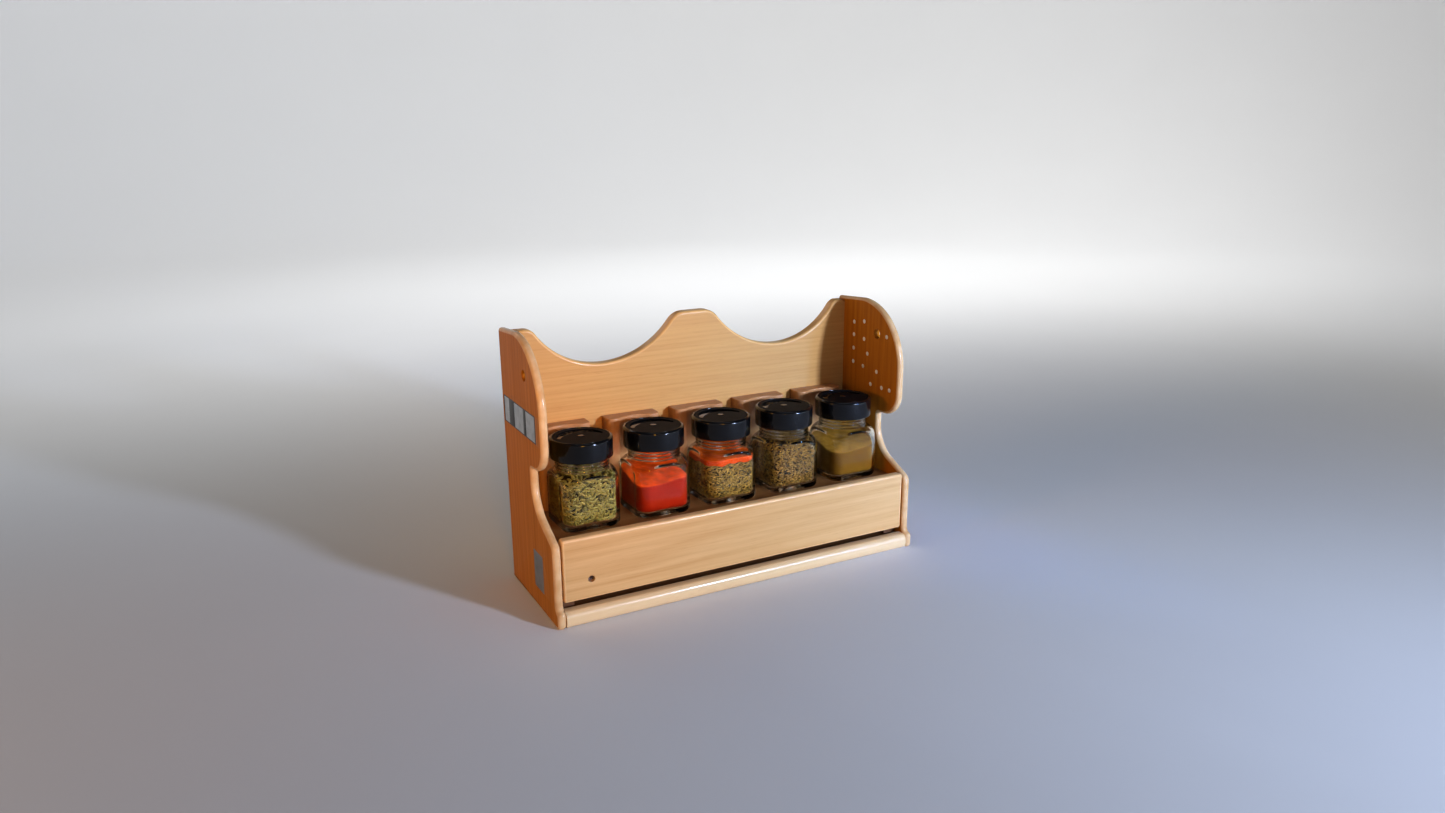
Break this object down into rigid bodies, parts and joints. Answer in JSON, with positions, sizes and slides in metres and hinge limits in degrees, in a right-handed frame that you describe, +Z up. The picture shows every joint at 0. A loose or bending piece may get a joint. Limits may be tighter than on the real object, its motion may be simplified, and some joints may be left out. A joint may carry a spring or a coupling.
{
  "type": "spice rack",
  "caption": "Wooden counter-top spice rack with scalloped back, curved sides, a drawer and square glass shaker jars.",
  "frame": {"origin": "centre of the footprint, on the surface the rack stands on", "axes": "+X to the right along the shelf, +Y towards the back, +Z up"},
  "size_m": [0.38, 0.131, 0.247],
  "materials": {
    "board_wood": "oiled pine or alder, fine grain, satin",
    "panel_wood": "oiled board, grain along the width, satin",
    "rail_wood": "oiled board, grain along the width, satin",
    "drawer_wood": "unfinished drawer box wood, matt",
    "rest_wood": "stained block, satin",
    "dowel_wood": "turned beech dowel, matt",
    "strip_black": "black, semi-gloss",
    "tile_metal": "brushed, light grey",
    "plate_metal": "brushed, blue-grey",
    "pin_brass": "satin brass",
    "screw_steel": "dull steel in a dark counterbore",
    "plug_white": "white nylon plug",
    "jar_glass": "clear pressed glass",
    "seal_white": "white foam liner",
    "cap_black": "black, glossy",
    "dial_black": "black, glossy",
    "spice_green_seed": null,
    "spice_red_powder": null,
    "spice_mixed_seed": null,
    "spice_orange_powder": null,
    "spice_brown_seed": null,
    "spice_olive_powder": null
  },
  "bodies": {
    "root": {"left_side": "board_wood", "right_side": "board_wood", "back_panel": "panel_wood", "shelf": "panel_wood", "base_board": "panel_wood", "front_rail": "rail_wood", "drawer_runner_left": "drawer_wood", "drawer_runner_right": "drawer_wood", "base_dowels": "dowel_wood", "back_dowels": "dowel_wood", "side_strip": "strip_black", "side_tiles": "tile_metal", "side_tile_pins": "pin_brass", "label_plate": "plate_metal", "label_plate_pin": "pin_brass", "hole_plugs": "plug_white", "jar_rest_1": "rest_wood", "jar_rest_2": "rest_wood", "jar_rest_3": "rest_wood", "jar_rest_4": "rest_wood", "jar_rest_5": "rest_wood"},
    "drawer": {"drawer_front": "rail_wood", "drawer_side_left": "drawer_wood", "drawer_side_right": "drawer_wood", "drawer_back": "drawer_wood", "drawer_bottom": "drawer_wood", "drawer_corner_block": "drawer_wood", "drawer_front_screw": "screw_steel", "drawer_pegs": "dowel_wood"},
    "jar_1": {"jar_glass_1": "jar_glass", "spice_1": "spice_green_seed"},
    "liner_1": {"seal_ring_1": "seal_white"},
    "lid_1": {"cap_1": "cap_black"},
    "dial_1": {"shaker_dial_1": "dial_black"},
    "jar_2": {"jar_glass_2": "jar_glass", "spice_2": "spice_red_powder"},
    "liner_2": {"seal_ring_2": "seal_white"},
    "lid_2": {"cap_2": "cap_black"},
    "dial_2": {"shaker_dial_2": "dial_black"},
    "jar_3": {"jar_glass_3": "jar_glass", "spice_3": "spice_mixed_seed", "spice_3_top": "spice_orange_powder"},
    "liner_3": {"seal_ring_3": "seal_white"},
    "lid_3": {"cap_3": "cap_black"},
    "dial_3": {"shaker_dial_3": "dial_black"},
    "jar_4": {"jar_glass_4": "jar_glass", "spice_4": "spice_brown_seed"},
    "liner_4": {"seal_ring_4": "seal_white"},
    "lid_4": {"cap_4": "cap_black"},
    "dial_4": {"shaker_dial_4": "dial_black"},
    "jar_5": {"jar_glass_5": "jar_glass", "spice_5": "spice_olive_powder"},
    "liner_5": {"seal_ring_5": "seal_white"},
    "lid_5": {"cap_5": "cap_black"},
    "dial_5": {"shaker_dial_5": "dial_black"}
  },
  "joints": [
    {"name": "drawer_slide", "type": "slide", "parent": "root", "child": "drawer", "axis": [0, -1, 0], "range_m": [0, 0.075]},
    {"name": "jar_lift_1", "type": "slide", "parent": "root", "child": "jar_1", "axis": [0, 0, 1], "range_m": [0, 0.09]},
    {"name": "cap_rise_1", "type": "slide", "parent": "jar_1", "child": "liner_1", "axis": [0, 0, 1], "range_m": [0, 0.0077]},
    {"name": "cap_turn_1", "type": "hinge", "parent": "liner_1", "child": "lid_1", "pos_m": [-0.14, -0.0025, 0.15], "axis": [0, 0, 1], "range_deg": [0, 540]},
    {"name": "dial_turn_1", "type": "hinge", "parent": "lid_1", "child": "dial_1", "pos_m": [-0.14, -0.0025, 0.15], "axis": [0, 0, 1], "range_deg": [0, 180]},
    {"name": "jar_lift_2", "type": "slide", "parent": "root", "child": "jar_2", "axis": [0, 0, 1], "range_m": [0, 0.09]},
    {"name": "cap_rise_2", "type": "slide", "parent": "jar_2", "child": "liner_2", "axis": [0, 0, 1], "range_m": [0, 0.0077]},
    {"name": "cap_turn_2", "type": "hinge", "parent": "liner_2", "child": "lid_2", "pos_m": [-0.069, -0.0025, 0.15], "axis": [0, 0, 1], "range_deg": [0, 540]},
    {"name": "dial_turn_2", "type": "hinge", "parent": "lid_2", "child": "dial_2", "pos_m": [-0.069, -0.0025, 0.15], "axis": [0, 0, 1], "range_deg": [0, 180]},
    {"name": "jar_lift_3", "type": "slide", "parent": "root", "child": "jar_3", "axis": [0, 0, 1], "range_m": [0, 0.09]},
    {"name": "cap_rise_3", "type": "slide", "parent": "jar_3", "child": "liner_3", "axis": [0, 0, 1], "range_m": [0, 0.0077]},
    {"name": "cap_turn_3", "type": "hinge", "parent": "liner_3", "child": "lid_3", "pos_m": [0.002, -0.0025, 0.15], "axis": [0, 0, 1], "range_deg": [0, 540]},
    {"name": "dial_turn_3", "type": "hinge", "parent": "lid_3", "child": "dial_3", "pos_m": [0.002, -0.0025, 0.15], "axis": [0, 0, 1], "range_deg": [0, 180]},
    {"name": "jar_lift_4", "type": "slide", "parent": "root", "child": "jar_4", "axis": [0, 0, 1], "range_m": [0, 0.09]},
    {"name": "cap_rise_4", "type": "slide", "parent": "jar_4", "child": "liner_4", "axis": [0, 0, 1], "range_m": [0, 0.0077]},
    {"name": "cap_turn_4", "type": "hinge", "parent": "liner_4", "child": "lid_4", "pos_m": [0.073, -0.0025, 0.15], "axis": [0, 0, 1], "range_deg": [0, 540]},
    {"name": "dial_turn_4", "type": "hinge", "parent": "lid_4", "child": "dial_4", "pos_m": [0.073, -0.0025, 0.15], "axis": [0, 0, 1], "range_deg": [0, 180]},
    {"name": "jar_lift_5", "type": "slide", "parent": "root", "child": "jar_5", "axis": [0, 0, 1], "range_m": [0, 0.09]},
    {"name": "cap_rise_5", "type": "slide", "parent": "jar_5", "child": "liner_5", "axis": [0, 0, 1], "range_m": [0, 0.0077]},
    {"name": "cap_turn_5", "type": "hinge", "parent": "liner_5", "child": "lid_5", "pos_m": [0.144, -0.0025, 0.15], "axis": [0, 0, 1], "range_deg": [0, 540]},
    {"name": "dial_turn_5", "type": "hinge", "parent": "lid_5", "child": "dial_5", "pos_m": [0.144, -0.0025, 0.15], "axis": [0, 0, 1], "range_deg": [0, 180]}
  ],
  "couplings": [
    {"joint": "cap_rise_1", "follows": "cap_turn_1", "m_per_rad": 0.00080851},
    {"joint": "cap_rise_2", "follows": "cap_turn_2", "m_per_rad": 0.00080851},
    {"joint": "cap_rise_3", "follows": "cap_turn_3", "m_per_rad": 0.00080851},
    {"joint": "cap_rise_4", "follows": "cap_turn_4", "m_per_rad": 0.00080851},
    {"joint": "cap_rise_5", "follows": "cap_turn_5", "m_per_rad": 0.00080851}
  ]
}
